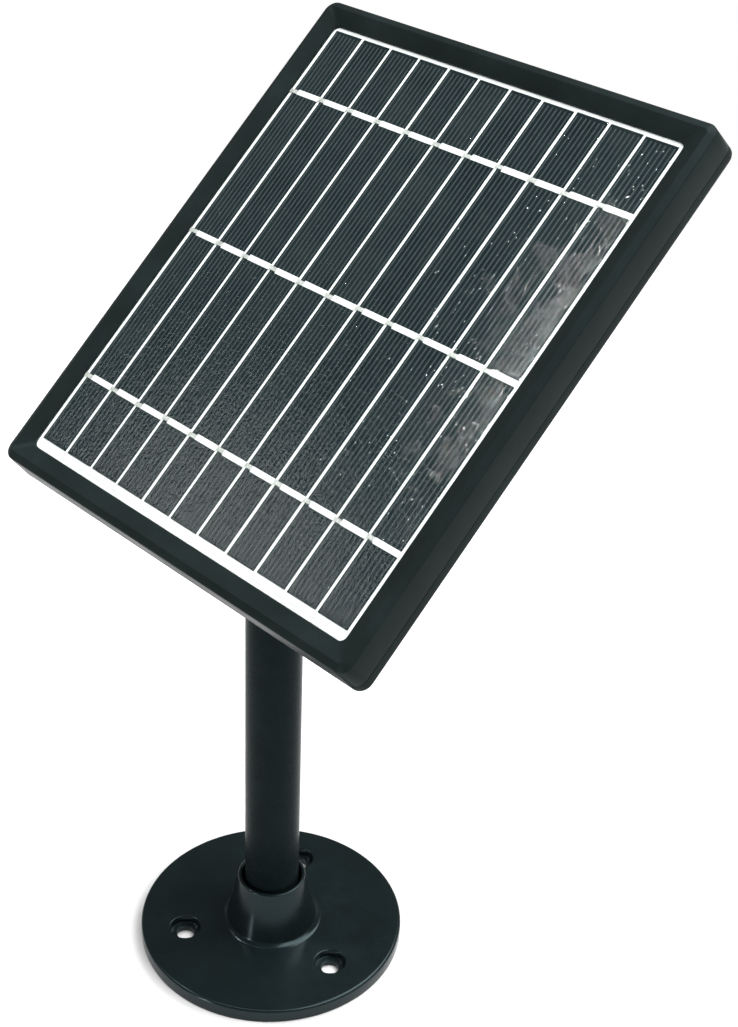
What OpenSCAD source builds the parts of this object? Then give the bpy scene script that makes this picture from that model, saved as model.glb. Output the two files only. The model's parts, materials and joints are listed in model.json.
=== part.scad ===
// Small solar panel on a round screw-down stand, the power source of a wireless security camera.
// Origin: centre of the base plate's underside. +Z runs up the pole, +X along the panel's width,
// and the panel faces -Y and upwards. All sizes in millimetres.

/* [Base plate] */
// Diameter of the round base plate
base_d = 83.6; // [75:0.2:95]
// Thickness of the base plate
base_t = 4.6; // [4.4:0.1:6]
// Radius that rounds the plate's top and bottom edges
base_edge_r = 0.9; // [0.4:0.1:1.2]
// Diameter of the circle that the three screw holes lie on
screw_circle_d = 56; // [52:0.5:62]
// Diameter of each screw hole
screw_hole_d = 5.4; // [4.5:0.1:6]
// Diameter of the sunk seat for each screw's head
screw_seat_d = 9.6; // [8:0.1:11]
// Depth of the sunk seat
screw_seat_t = 2.6; // [1:0.1:3]
// Top height of the conical hub
hub_h = 22.5; // [20:0.5:26]
// Outer radius of the hub at its mouth
hub_top_r = 10.6; // [10.3:0.1:12]
// Outer radius of the hub where its fillet starts
hub_foot_r = 14.4; // [13:0.1:16]
// Radius of the fillet between the hub and the plate
hub_fillet_r = 1.6; // [1:0.1:2.5]
// Inner radius of the hub's open mouth, wider than the pole
hub_mouth_r = 9.5; // [9.2:0.1:9.8]
// Depth of the wide mouth
hub_mouth_t = 8; // [5:0.5:10]

/* [Pole] */
// Outer diameter of the pole
pole_d = 17; // [15:0.1:17.4]
// Wall of the pole's tube
pole_wall = 2; // [1.5:0.1:2.2]
// Height of the pole's top end
pole_top_z = 132; // [125:1:134]
// Height of the pole's bottom end, on the floor of the hub's socket
pole_foot_z = 5; // [4.5:0.1:6]

/* [Swivel head and tilt hinge] */
// Height of the hinge axis
hinge_z = 157.6; // [155:0.1:163]
// Radius of the head's ears and barrel
head_r = 9.6; // [9.2:0.1:10]
// Thickness of the panel's lug, between the two ears
lug_t = 8; // [7:0.2:8.4]
// Radius of the lug's round end
lug_r = 9; // [8:0.1:9]
// Diameter of the hinge bolt
bolt_d = 5; // [4:0.5:5]
// Radius of the turning spigot under the head
spigot_r = 4; // [3.5:0.1:4.2]
// Radius of the tilt knob over its lobes
knob_r = 12.5; // [11:0.1:12.8]
// Width of the tilt knob
knob_w = 11; // [9:0.5:14]

/* [Panel] */
// Angle between the panel's face and the horizontal
tilt = 41.3; // [35:0.1:50]
// Distance from the hinge axis to the face of the solar cells
hinge_gap = 27.4; // [27.4:0.1:30]
// Distance from the hinge axis up the slope to the panel's middle
hinge_drop = 53.8; // [50:0.1:60]
// Width of the laminate's opening
window_w = 130.6; // [130:0.1:132]
// Height of the laminate's opening, up the slope
window_h = 153.6; // [153:0.1:156]
// Width of the sloping face round the opening
bezel_w = 4.7; // [4:0.1:5]
// Height of the frame's ridge above the cells
ridge_h = 2.3; // [1.8:0.1:3]
// Width of the outer bevel
bevel_w = 2.2; // [1.5:0.1:2.5]
// Height of the outer bevel's lower edge above the cells
bevel_h = 1.3; // [0.8:0.1:1.6]
// Outward draft of the side walls, from front to rear
draft = 0.8; // [0.2:0.1:1]
// Depth of the housing's rear face behind the cells
rear_n = 10.4; // [10.4:0.1:12]
// Depth of the joint line between frame and rear cover, behind the cells
split_n = 6.5; // [6.3:0.1:6.8]

/* [Solar cells] */
// Number of cell strips side by side
cell_n = 11; // [11:1:11]
// Distance from one cell to the next
cell_pitch = 11.72; // [11:0.01:11.75]
// White gap between two cells
cell_gap = 1; // [0.5:0.05:1.5]
// Length of a cell strip, up the slope
cell_h = 148.9; // [140:0.1:149]
// Distance between the three rows of ribbons
ribbon_pitch = 52; // [48:0.5:54]
// Width of a ribbon
ribbon_w = 1.65; // [1:0.05:2]

/* [Hidden] */
$fn = 48;
e = 0.01;                    // overlap that makes cuts and unions clean

black = "#20272a";
black_metal = "#1c2426";
steel = "#b9bcbf";
brass = "#c9a44c";

pole_r = pole_d / 2;
pole_in_r = pole_r - pole_wall;
plug_r = pole_in_r - 0.05;
socket_r = pole_r + 0.06;
screw_turn = 120;            // angle from one base hole to the next
arc_n = 6;                   // steps in a rounded edge

foot_seat_r = 6;             // sunk seat for the foot screw, under the base
foot_seat_t = 3;
foot_bore_r = 2.2;
foot_shank_r = 2;
foot_shank_l = 13.6;
foot_washer_r = 5;
foot_washer_t = 0.6;
plug_t = 15;                 // length of the threaded plug in the pole's foot
mouth_taper = 1.2;           // height of the taper from the wide mouth down to the socket
mouth_chamfer = 0.3;
hub_lip_r = 0.5;

bush_flange_t = 1.2;
bush_foot_z = pole_top_z - 16;
bush_bore_r = spigot_r + 0.05;
head_foot_z = pole_top_z + bush_flange_t + 0.3;
spigot_foot_z = bush_foot_z - 0.3;
spigot_shank_r = 1.5;
spigot_tap_t = 12;           // depth of the screw hole in the spigot
head_chamfer = 0.8;
spigot_washer_r = 5.6;
spigot_washer_t = 1;

slot_half = lug_t / 2 + 0.95;
slot_floor = 9.6;            // depth of the fork's slot below the hinge axis
bolt_r = bolt_d / 2;
bolt_clear_r = bolt_r + 0.06;
hex_r = 4.62;                // corner radius of an 8 mm hexagon
hex_t = 3.5;
washer_t = 1;
side_gap = 0.1;              // air on each side of the knob's washer
knob_x = head_r + washer_t + 2 * side_gap;
knob_washer_r = 6.5;
knob_neck_r = 7.2;
knob_neck_t = 2.6;
knob_floor_t = 2;            // closed end of the knob
knob_bore_r = 4;
knob_lobes = 7;
lobe_depth = 0.9;
fibre_r = 8;
fibre_t = 0.8;

frame_w = window_w + 2 * (bezel_w + bevel_w);
frame_h = window_h + 2 * (bezel_w + bevel_w);
side_slope = draft / (rear_n + bevel_h);
window_corner = 2;
ridge_corner = 1.8;
outer_corner = 3.6;
lip_h = 0.45;                // inner edge of the bezel above the cells
ledge_n = 2.2;               // ledge that carries the laminate
ledge_t = 2.2;
ledge_w = 6;
wall_t = 2.2;
joint_gap = 0.15;            // visible line between frame and rear cover
floor_t = 1.8;
boss_r = 3.2;
pilot_r = 1.05;
cover_hole_r = 1.4;
cover_seat_r = 2.7;
cover_seat_t = 2;
boss_x = window_w / 2 - 2.6;
boss_y = window_h / 2 - 2.6;
boss_side_y = 30;            // the two bosses on each long side
boss_points = [for (sx = [-1, 1], sy = [-1, 1]) [sx * boss_x, sy * boss_y],
               for (sx = [-1, 1], sy = [-1, 1]) [sx * boss_x, sy * boss_side_y],
               for (sy = [-1, 1]) [0, sy * boss_y]];

film_n = -0.15;              // depths are positive behind the face of the cells
film_t = 0.2;
cell_t = 0.2;
ribbon_t = 0.12;
encapsulant_t = 0.3;
board_front_n = cell_t + encapsulant_t;
board_back_n = ledge_n - 0.2;
sheet_gap = 0.12;            // gap between the laminate's edge and the frame
cell_w = cell_pitch - cell_gap;
cell_shift = 1;              // the cells sit a little high, above a wider bottom strip

bracket_w = 48;
bracket_h = 30;
bracket_t = 3;
bracket_hole_x = 18;
bracket_hole_y = 9;
bracket_corner = 4;
bracket_hole_r = 1.7;
bracket_face = hinge_gap - rear_n - bracket_t;
gusset_t = 2;
gusset_w = 10.2;             // reach of each gusset along the plate
gusset_root = 0.8;           // depth of each gusset's foot inside the lug
gusset_drop = 3.6;           // reach of each gusset down the lug
bracket_points = [for (sx = [-1, 1], sy = [-1, 1])
                  [sx * bracket_hole_x, sy * bracket_hole_y - hinge_drop]];
bracket_boss_n = 3.4;        // depth of the tops of the bracket's bosses in the cover
bracket_pilot_r = 1.55;

pcb_x = -34;
pcb_y = -30;
pcb_w = 34;
pcb_h = 22;
pcb_t = 1.2;
pcb_n = 7.1;                 // rear face of the circuit board
pcb_corner = 1.5;
pcb_hole_r = 1.3;
pcb_post_r = 2.2;
pcb_points = [for (s = [-1, 1]) [pcb_x + s * 14, pcb_y + s * 8]];
lead_r = 0.7;
lead_x = 4;                  // leads left and right of the board's middle
lead_run = [9, 34];          // start and end of a lead's run, up the slope from the board

gland_x = -34;
gland_y = -58;
gland_r = 4;
gland_bore_r = 2.1;
gland_hex_r = 7;
gland_nut_r = 6.4;
gland_reach = 4.6;           // thread on each side of the housing's rear face
gland_nut_end = 8;

// ---- shared shapes -------------------------------------------------------------------------

// Outline of a rectangle with round corners, centred
function rounded_points(w, d, r) =
    [for (c = [[1, 1, 0], [-1, 1, 90], [-1, -1, 180], [1, -1, 270]], i = [0 : arc_n])
     [c[0] * (w / 2 - r) + r * cos(c[2] + 90 * i / arc_n),
      c[1] * (d / 2 - r) + r * sin(c[2] + 90 * i / arc_n)]];

// Points along an arc, from angle a to angle b
function arc_points(cx, cy, r, a, b) =
    [for (i = [0 : arc_n]) [cx + r * cos(a + (b - a) * i / arc_n),
                            cy + r * sin(a + (b - a) * i / arc_n)]];

// Flat slab with round corners, from height z upwards
module slab(w, d, r, z, h) {
    translate([0, 0, z]) linear_extrude(h) polygon(rounded_points(w, d, r));
}

// Upright cylinder between two heights
module rod(r, z0, z1) {
    translate([0, 0, z0]) cylinder(r = r, h = z1 - z0);
}

// Flat ring between two heights
module ring(r_out, r_in, z0, z1) {
    difference() {
        rod(r_out, z0, z1);
        rod(r_in, z0 - 1, z1 + 1);
    }
}

// Rectangular picture-frame ring of one thickness
module border(w, d, r, width, z, h) {
    difference() {
        slab(w, d, r, z, h);
        slab(w - 2 * width, d - 2 * width, max(r - width, 0.3), z - 1, h + 2);
    }
}

// Puts its children in the panel's own frame: x across, y up the slope, z out of the face
module on_panel() {
    translate([0, 0, hinge_z]) rotate([tilt, 0, 0]) translate([0, hinge_drop, hinge_gap]) children();
}

// Puts its children on the hinge axis, with +Z along the axis
module on_hinge() {
    translate([0, 0, hinge_z]) rotate([0, 90, 0]) children();
}

// Pan-head screw along +Z, its head below z = 0, with a cross recess in the head
module pan_screw(shank_r, shank_l, head_r, head_t) {
    difference() {
        union() {
            rod(shank_r, -e, shank_l);
            rod(head_r, -head_t, 0);
        }
        for (a = [0, 90]) rotate([0, 0, a]) translate([-head_r * 0.55, -head_r * 0.12, -head_t - 1])
            cube([head_r * 1.1, head_r * 0.24, 1 + head_t * 0.5]);
    }
}

// ---- stand ---------------------------------------------------------------------------------

// Outline of the plate and hub, from the axis outwards
function base_outline() = concat(
    [[foot_bore_r, 0]],
    arc_points(base_d / 2 - base_edge_r / 2, base_edge_r / 2, base_edge_r / 2, -90, 0),
    arc_points(base_d / 2 - base_edge_r, base_t - base_edge_r, base_edge_r, 0, 90),
    arc_points(hub_foot_r + hub_fillet_r, base_t + hub_fillet_r, hub_fillet_r, 270, 195),
    arc_points(hub_top_r - hub_lip_r, hub_h - hub_lip_r, hub_lip_r, 10, 90),
    [[hub_mouth_r + mouth_chamfer, hub_h],
     [hub_mouth_r, hub_h - mouth_chamfer],
     [hub_mouth_r, hub_h - hub_mouth_t],
     [socket_r, hub_h - hub_mouth_t - mouth_taper],
     [socket_r, pole_foot_z],
     [foot_bore_r, pole_foot_z]]);

module base_plate() color(black_metal) {
    difference() {
        rotate_extrude($fn = 96) polygon(base_outline());
        rod(foot_seat_r, -1, foot_seat_t);
        for (i = [0 : 2]) rotate([0, 0, i * screw_turn]) translate([screw_circle_d / 2, 0, 0]) {
            rod(screw_hole_d / 2, -1, base_t + 1);
            rod(screw_seat_d / 2, base_t - screw_seat_t, base_t + 1);
        }
    }
}

module pole() color(black_metal) ring(pole_r, pole_in_r, pole_foot_z, pole_top_z);

module pole_foot_plug() color(brass) ring(plug_r, foot_shank_r + 0.02, pole_foot_z, pole_foot_z + plug_t);

module foot_screw() color(steel)
    translate([0, 0, foot_seat_t - foot_washer_t]) pan_screw(foot_shank_r, foot_shank_l, 3.6, 2.1);

module foot_washer() color(steel)
    ring(foot_washer_r, foot_shank_r + 0.1, foot_seat_t - foot_washer_t, foot_seat_t);

module top_bush() color("#e6e4da") {
    difference() {
        union() {
            rod(plug_r, bush_foot_z, pole_top_z + e);
            rod(pole_r, pole_top_z, pole_top_z + bush_flange_t);
        }
        rod(bush_bore_r, bush_foot_z - 1, pole_top_z + bush_flange_t + 1);
    }
}

// ---- swivel head ---------------------------------------------------------------------------

module swivel_head() color(black) {
    difference() {
        union() {
            rotate_extrude() polygon([[0, head_foot_z], [head_r - head_chamfer, head_foot_z],
                                      [head_r, head_foot_z + head_chamfer], [head_r, hinge_z],
                                      [0, hinge_z]]);
            on_hinge() rod(head_r, -head_r, head_r);
            rod(spigot_r, spigot_foot_z, head_foot_z + 1);
        }
        translate([-slot_half, -2 * head_r, hinge_z - slot_floor])
            cube([2 * slot_half, 4 * head_r, slot_floor + 2 * head_r]);
        on_hinge() rod(bolt_clear_r, -2 * head_r, 2 * head_r);
        on_hinge() translate([0, 0, -2 * head_r]) cylinder(r = hex_r + 0.1, h = head_r + hex_t, $fn = 6);
        rod(spigot_shank_r, spigot_foot_z - 1, spigot_foot_z + spigot_tap_t);
    }
}

module spigot_washer() color(steel)
    ring(spigot_washer_r, spigot_shank_r + 0.1, spigot_foot_z - spigot_washer_t, spigot_foot_z);

module spigot_screw() color(steel)
    translate([0, 0, spigot_foot_z - spigot_washer_t]) pan_screw(spigot_shank_r - 0.02, 10, 2.9, 1.8);

module hinge_bolt() color(steel) on_hinge() {
    rod(bolt_r, -head_r, knob_x + knob_w - knob_floor_t - 1);
    translate([0, 0, -head_r]) cylinder(r = hex_r, h = hex_t - 0.1, $fn = 6);
}

module friction_washers() color("#3b3b3b") on_hinge() {
    for (s = [-1, 1]) translate([0, 0, s * (slot_half - fibre_t / 2)])
        ring(fibre_r, bolt_r + 0.15, -fibre_t / 2, fibre_t / 2);
}

module knob_washer() color(steel) on_hinge()
    ring(knob_washer_r, bolt_clear_r + 0.04, head_r + side_gap, knob_x - side_gap);

// Outline of the knob's grip: a round with shallow lobes
function knob_outline(lobes, steps) =
    [for (i = [0 : lobes * steps - 1]) let (a = 360 * i / (lobes * steps))
     (knob_r - lobe_depth + lobe_depth * cos(lobes * a)) * [cos(a), sin(a)]];

module tilt_knob() color(black) on_hinge() {
    difference() {
        union() {
            rod(knob_neck_r, knob_x, knob_x + knob_neck_t);
            translate([0, 0, knob_x + knob_neck_t - 0.1]) linear_extrude(knob_w - knob_neck_t + 0.1)
                polygon(knob_outline(knob_lobes, 10));
        }
        rod(knob_bore_r, knob_x - 1, knob_x + knob_w - knob_floor_t);
    }
}

module knob_insert() color(brass) on_hinge()
    ring(knob_bore_r - 0.02, bolt_clear_r, knob_x, knob_x + knob_w - knob_floor_t);

// ---- panel bracket -------------------------------------------------------------------------

module hinge_bracket() color(black) on_panel() {
    difference() {
        union() {
            translate([0, -hinge_drop, 0])
                slab(bracket_w, bracket_h, bracket_corner, -rear_n - bracket_t, bracket_t);
            translate([0, -hinge_drop, -hinge_gap]) rotate([0, 90, 0]) rod(lug_r, -lug_t / 2, lug_t / 2);
            translate([-lug_t / 2, -hinge_drop - lug_r, -hinge_gap])
                cube([lug_t, 2 * lug_r, bracket_face + 1]);
            for (s = [-1, 1]) translate([s * lug_t / 2, -hinge_drop, -rear_n - bracket_t])
                rotate([90, 0, 0]) linear_extrude(gusset_t, center = true)
                polygon([[-s * gusset_root, 1], [s * gusset_w, 1], [s * gusset_w, 0],
                         [0, -gusset_drop], [-s * gusset_root, -gusset_drop]]);
        }
        translate([0, -hinge_drop, -hinge_gap]) rotate([0, 90, 0]) rod(bolt_clear_r, -20, 20);
        for (p = bracket_points) translate([p[0], p[1], 0])
            rod(bracket_hole_r, -rear_n - bracket_t - 1, -rear_n + 1);
    }
}

module bracket_screws() color(steel) on_panel() {
    for (p = bracket_points) translate([p[0], p[1], -rear_n - bracket_t]) pan_screw(1.5, 8.4, 2.9, 1.9);
}

// ---- housing -------------------------------------------------------------------------------

// Slab of the housing's outer shape at a height, grown by the side walls' draft
module outline_slab(z, h, inset, r) {
    grow = 2 * side_slope * (bevel_h - z) - 2 * inset;
    slab(frame_w + grow, frame_h + grow, r, z, h);
}

module front_frame() color(black) on_panel() {
    difference() {
        hull() {
            outline_slab(-split_n, e, 0, outer_corner);
            slab(frame_w, frame_h, outer_corner, bevel_h - e, e);
            slab(window_w + 2 * bezel_w + 0.4, window_h + 2 * bezel_w + 0.4, ridge_corner, ridge_h - e, e);
        }
        hull() {
            slab(window_w, window_h, window_corner, lip_h, e);
            slab(window_w + 2 * bezel_w, window_h + 2 * bezel_w, ridge_corner, ridge_h + e, e);
        }
        slab(window_w, window_h, window_corner, -ledge_n, ledge_n + ridge_h);
        slab(window_w - 2 * ledge_w, window_h - 2 * ledge_w, window_corner, -split_n - 1, split_n + 1);
        slab(frame_w - 2 * wall_t, frame_h - 2 * wall_t, 2, -split_n - 1, split_n + 1 - ledge_n - ledge_t);
        for (p = boss_points) translate([p[0], p[1], 0]) rod(pilot_r, -split_n - 1, -ledge_n - 0.8);
    }
    for (p = boss_points) translate([p[0], p[1], 0])
        ring(boss_r, pilot_r, -split_n + 0.1, -ledge_n - ledge_t);
}

module rear_cover() color(black) on_panel() {
    difference() {
        union() {
            difference() {
                hull() {
                    outline_slab(-split_n - joint_gap, e, 0, outer_corner);
                    outline_slab(-rear_n + 1, e, 0, outer_corner);
                    outline_slab(-rear_n, e, 0.9, outer_corner - 0.6);
                }
                slab(frame_w - 2 * wall_t, frame_h - 2 * wall_t, 2, -rear_n + floor_t, rear_n);
            }
            for (p = boss_points) translate([p[0], p[1], 0]) rod(boss_r, -rear_n + e, -split_n);
            for (p = bracket_points) translate([p[0], p[1], 0]) rod(boss_r, -rear_n + e, -bracket_boss_n);
            for (p = pcb_points) translate([p[0], p[1], 0]) rod(pcb_post_r, -rear_n + e, -pcb_n);
        }
        for (p = boss_points) translate([p[0], p[1], 0]) {
            rod(cover_hole_r, -rear_n - 1, -split_n + 1);
            rod(cover_seat_r, -rear_n - 1, -rear_n + cover_seat_t);
        }
        for (p = bracket_points) translate([p[0], p[1], 0])
            rod(bracket_pilot_r, -rear_n - 1, -bracket_boss_n - 1);
        for (p = pcb_points) translate([p[0], p[1], 0]) rod(0.9, -rear_n + floor_t, -pcb_n + 1);
        translate([gland_x, gland_y, 0]) rod(gland_r + 0.05, -rear_n - 1, -rear_n + floor_t + 1);
        translate([0, 0, -split_n - 1.5]) border(frame_w - 1.6, frame_h - 1.6, 3, 0.9, 0, 2);
    }
}

module cover_screws() color(steel) on_panel() {
    for (p = boss_points) translate([p[0], p[1], -rear_n + cover_seat_t])
        pan_screw(pilot_r - 0.02, 5, 2.3, 1.5);
}

module frame_seal() color("#4a4d4f") on_panel()
    border(frame_w - 1.66, frame_h - 1.66, 3, 0.84, -split_n - 1.5, 1.5);

// ---- laminate ------------------------------------------------------------------------------

// One sheet of the laminate, between two depths behind the cells' face
module sheet(front_n, back_n) {
    slab(window_w - 2 * sheet_gap, window_h - 2 * sheet_gap, window_corner, -back_n, back_n - front_n);
}

// Middle of a cell strip
function cell_x(i) = (i - (cell_n - 1) / 2) * cell_pitch;

// Middle of a row of ribbons
function ribbon_y(k) = cell_shift + k * ribbon_pitch;

module clear_film() color([0.9, 0.95, 1, 0.3]) on_panel() sheet(film_n - film_t, film_n);

module solar_cells() color("#1d2b33") on_panel() {
    for (i = [0 : cell_n - 1]) translate([cell_x(i) - cell_w / 2, cell_shift - cell_h / 2, -cell_t])
        cube([cell_w, cell_h, cell_t]);
}

module cell_ribbons() color("#e8eaea") on_panel() {
    for (i = [0 : cell_n - 1], k = [-1 : 1])
        translate([cell_x(i) - cell_w / 2 + 1, ribbon_y(k) - ribbon_w / 2, 0])
        cube([cell_pitch - 1.6, ribbon_w, ribbon_t]);
}

module end_ribbons() color("#dfe2e2") on_panel() {
    for (s = [-1, 1]) translate([s * 30 - 26, cell_shift - cell_h / 2 - 1.9, -cell_t])
        cube([52, 1.2, 0.15]);
}

module encapsulant() color("#f4f6f6") on_panel() sheet(cell_t, cell_t + encapsulant_t);

module backing_board() color("#f2f2ee") on_panel() sheet(board_front_n, board_back_n);

module laminate_tape() color("#2a2a2a") on_panel()
    border(window_w - 1, window_h - 1, window_corner, ledge_w - 1.2, -ledge_n, 0.2);

// ---- electronics ---------------------------------------------------------------------------

module circuit_board() color("#1f6b3c") on_panel() {
    difference() {
        translate([pcb_x, pcb_y, 0]) slab(pcb_w, pcb_h, pcb_corner, -pcb_n, pcb_t);
        for (p = pcb_points) translate([p[0], p[1], 0])
            rod(pcb_hole_r, -pcb_n - 1, -pcb_n + pcb_t + 1);
    }
}

module board_screws() color(steel) on_panel() {
    for (p = pcb_points) translate([p[0], p[1], -pcb_n + pcb_t]) mirror([0, 0, 1])
        pan_screw(0.88, 2.3, 1.9, 1.1);
}

// Box-shaped part that stands on the circuit board's front face
module on_board(x, y, w, d, h) {
    translate([pcb_x + x - w / 2, pcb_y + y - d / 2, -pcb_n + pcb_t]) cube([w, d, h]);
}

module regulator_chip() color("#17181a") on_panel() {
    on_board(0, 2, 5, 4, 1.4);
    for (i = [-1.5 : 1 : 1.5], s = [-1, 1]) on_board(i * 1.27, 2 + s * 2.5, 0.4, 1.4, 0.4);
}

module inductor() color("#2d2a28") on_panel() {
    difference() {
        on_board(9, 4, 6.4, 6.4, 2.8);
        translate([pcb_x + 9, pcb_y + 4, 0]) rod(1.6, -pcb_n + pcb_t + 2.4, 0);
    }
}

module blocking_diode() color("#26282b") on_panel() {
    on_board(-9, -3, 4.4, 2.6, 2.1);
    for (s = [-1, 1]) on_board(-9 + s * 2.5, -3, 1.2, 1.4, 0.5);
}

module capacitors() color("#b98b5a") on_panel() {
    for (x = [-3, 1, 5]) on_board(x, -5, 2, 3.2, 1.6);
}

// Insulated lead: a run along the slope, then a leg that rises to the laminate
module lead(x, y0, y1) {
    run_n = -pcb_n + pcb_t + lead_r + 0.05;
    translate([x, y0, run_n]) rotate([-90, 0, 0]) cylinder(r = lead_r, h = y1 - y0);
    translate([x, y1, 0]) rod(lead_r, run_n - lead_r - 0.1, -board_back_n - 0.02);
}

module positive_lead() color("#b3261e") on_panel()
    lead(pcb_x - lead_x, pcb_y + lead_run[0], pcb_y + lead_run[1]);

module negative_lead() color("#202020") on_panel()
    lead(pcb_x + lead_x, pcb_y + lead_run[0], pcb_y + lead_run[1]);

// ---- cable gland ---------------------------------------------------------------------------

// Puts its children on the gland's axis, with z = 0 on the housing's rear face
module on_gland() {
    on_panel() translate([gland_x, gland_y, -rear_n]) children();
}

module cable_gland() color(black) on_gland() {
    difference() {
        union() {
            rod(gland_r, -gland_reach, gland_reach);
            translate([0, 0, -2]) cylinder(r = gland_hex_r, h = 2, $fn = 6);
        }
        rod(gland_bore_r, -6, 6);
    }
}

module gland_locknut() color(black) on_gland() {
    difference() {
        translate([0, 0, floor_t]) cylinder(r = gland_nut_r, h = 2.2, $fn = 6);
        rod(gland_r + 0.05, 0, 6);
    }
}

module gland_seal() color("#333536") on_gland()
    ring(gland_r - 0.5, gland_bore_r + 0.05, -gland_reach - 2, -gland_reach - 0.05);

module gland_nut() color(black) on_gland() {
    difference() {
        union() {
            translate([0, 0, -gland_nut_end + 2.4]) cylinder(r = gland_nut_r, h = 3.4, $fn = 6);
            translate([0, 0, -gland_nut_end]) cylinder(r1 = 3.8, r2 = 5.5, h = 2.4 + e);
        }
        rod(gland_bore_r + 0.3, -gland_nut_end - 1, 0);
        rod(gland_r + 0.05, -gland_reach - 2.1, 0);
    }
}

// ---- nodes ---------------------------------------------------------------------------------

base_plate();
pole();
pole_foot_plug();
foot_screw();
foot_washer();
top_bush();
swivel_head();
spigot_washer();
spigot_screw();
hinge_bolt();
friction_washers();
knob_washer();
tilt_knob();
knob_insert();
hinge_bracket();
bracket_screws();
front_frame();
rear_cover();
cover_screws();
frame_seal();
clear_film();
solar_cells();
cell_ribbons();
end_ribbons();
encapsulant();
backing_board();
laminate_tape();
circuit_board();
board_screws();
regulator_chip();
inductor();
blocking_diode();
capacitors();
positive_lead();
negative_lead();
cable_gland();
gland_locknut();
gland_seal();
gland_nut();
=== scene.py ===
"""Looks of a small solar panel on a round screw-down stand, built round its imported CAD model.

Sizes are in millimetres and become metres in the meshes. The panel's own pieces are made in the
panel's frame: x across, y up the slope, z out of the face, with z = 0 on the face of the solar cells.
"""
import json
import math
import random

import bmesh
import bpy
from mathutils import Matrix, Vector


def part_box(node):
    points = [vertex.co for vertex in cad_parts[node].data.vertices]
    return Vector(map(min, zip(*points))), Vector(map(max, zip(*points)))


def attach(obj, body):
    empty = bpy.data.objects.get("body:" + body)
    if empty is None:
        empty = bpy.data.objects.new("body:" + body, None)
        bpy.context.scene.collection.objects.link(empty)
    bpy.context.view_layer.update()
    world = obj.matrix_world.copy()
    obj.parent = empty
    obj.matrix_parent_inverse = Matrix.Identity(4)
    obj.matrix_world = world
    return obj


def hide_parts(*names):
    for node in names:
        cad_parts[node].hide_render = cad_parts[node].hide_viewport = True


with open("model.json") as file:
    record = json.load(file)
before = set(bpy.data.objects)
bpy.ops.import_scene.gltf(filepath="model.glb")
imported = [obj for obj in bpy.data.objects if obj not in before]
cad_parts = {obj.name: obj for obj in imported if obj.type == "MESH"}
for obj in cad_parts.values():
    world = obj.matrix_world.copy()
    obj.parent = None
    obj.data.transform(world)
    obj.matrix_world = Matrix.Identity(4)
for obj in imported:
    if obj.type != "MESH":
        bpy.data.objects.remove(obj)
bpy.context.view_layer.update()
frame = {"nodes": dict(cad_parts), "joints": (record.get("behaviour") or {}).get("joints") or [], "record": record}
nodes = frame["nodes"]
joints = {j["name"]: j for j in frame["joints"]}

MM = 0.001
SEED = 11

# ---- stand -----------------------------------------------------------------------------------

BASE_R = 41.79          # a hair inside the CAD node's edge
BASE_T = 4.6
HUB_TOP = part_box("base_plate")[1].z / MM
HUB_ROOT_R, HUB_FLARE_R, HUB_FLARE_Z, HUB_LIP_R = 15.6, 14.35, 5.7, 10.6
MOUTH_R, MOUTH_DEPTH, SOCKET_DEPTH, SOCKET_GAP = 9.5, 8, 9.2, 0.06
POLE_R = (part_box("pole")[1].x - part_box("pole")[0].x) / 2 / MM
POLE_LOW, POLE_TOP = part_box("pole")[0].z / MM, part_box("pole")[1].z / MM
POLE_BORE_R = 6.28
FOOT_BORE_R, FOOT_SEAT_R, FOOT_SEAT_T = 2.2, 6.0, 3.0
SCREW_COUNT, SCREW_CIRCLE_R = 3, 28
HOLE_R, SEAT_R, SEAT_T, SEAT_RIM = 2.7, 4.8, 2.6, 0.45

# ---- housing ---------------------------------------------------------------------------------

HINGE = Vector(joints["panel_tilt"]["pos_m"])
TILT = -math.radians(joints["panel_tilt"]["range_deg"][0])
HINGE_GAP, HINGE_DROP = 27.4, 53.8

WINDOW_W, WINDOW_H = 130.6, 153.6
BEZEL, BEVEL = 4.7, 2.2
RIDGE_H, BEVEL_H, LIP_H = 2.3, 1.3, 0.45
SPLIT_N, JOINT_GAP, REAR_N, DRAFT = 6.5, 0.15, 10.4, 0.8
LEDGE_N, LEDGE_T, LEDGE_W, WALL_T, FLOOR_T = 2.2, 2.2, 6.0, 2.2, 1.8
JOINT_EDGE_R, REAR_EDGE_R = 0.07, 1.7
WINDOW_CORNER_R, RIDGE_CORNER_R, OUTER_CORNER_R = 2.0, 1.4, 3.6
COVER_SCREW_INSET, COVER_SCREW_Y = 2.6, 30
COVER_SEAT_R, COVER_SEAT_T, COVER_HOLE_R = 2.7, 1.9, 1.4
GLAND_R, GLAND_X, GLAND_Y = 4.05, -34, -58
BLANK_W, BLANK_H, BLANK_Y, BLANK_CORNER_R, BLANK_DEPTH = 68.2, 30.2, 22, 3, 0.3
CUT = 9                 # how far a cutter runs past what it cuts

# ---- laminate --------------------------------------------------------------------------------

CELL_COUNT, CELL_PITCH, CELL_GAP, CELL_H, CELL_T, CELL_SHIFT = 11, 11.72, 1.0, 148.9, 0.2, 1.0
CELL_W = CELL_PITCH - CELL_GAP
FINGER_PITCH, FINGER_HALF, FINGER_T, FINGER_INSET, FINGERS_A_SIDE = 1.53, 0.22, 0.02, 0.9, 3
RIBBON_PITCH = 52.0
PAD_T, LINK_LOW, LINK_HIGH = 0.12, 0.01, 0.10
FILM_LOW, FILM_HIGH, FILM_INSET, FILM_EDGE = 0.15, 0.35, 0.12, 0.05

# ---- frames of reference ---------------------------------------------------------------------

WORLD = Matrix.Identity(4)
PANEL = (Matrix.Translation(HINGE) @ Matrix.Rotation(TILT, 4, "X")
         @ Matrix.Translation(Vector((0, HINGE_DROP * MM, HINGE_GAP * MM))))

# ---- light and camera, in metres unless a name says otherwise --------------------------------

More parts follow.
